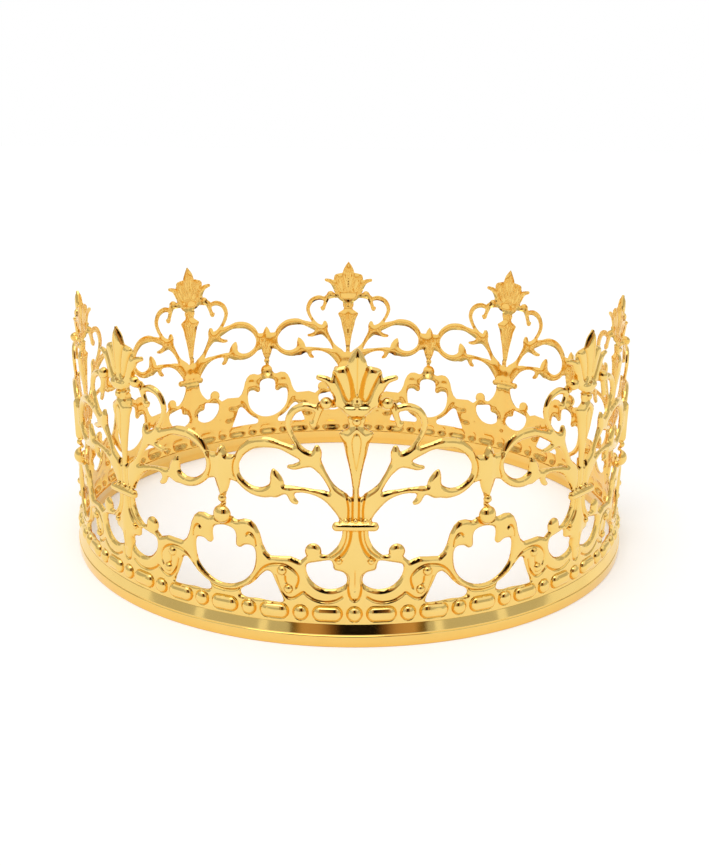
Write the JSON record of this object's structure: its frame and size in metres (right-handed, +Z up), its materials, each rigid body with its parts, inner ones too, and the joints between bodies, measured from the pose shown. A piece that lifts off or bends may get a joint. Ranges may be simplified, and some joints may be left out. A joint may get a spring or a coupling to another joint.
{
  "type": "openwork metal crown",
  "caption": "Open ring crown of stamped gold-plated sheet with pierced scrollwork, palmette finials and a rolled rim, worn or set on top of a round form.",
  "frame": {"origin": "centre of the circle that the lip stands on", "axes": "+Z up along the ring's axis, -Y towards the viewer through the centre line of one motif"},
  "size_m": [0.14, 0.14, 0.0605],
  "materials": {
    "gold_plate": "polished gold plate"
  },
  "bodies": {
    "root": {"crown": "gold_plate"}
  },
  "joints": []
}
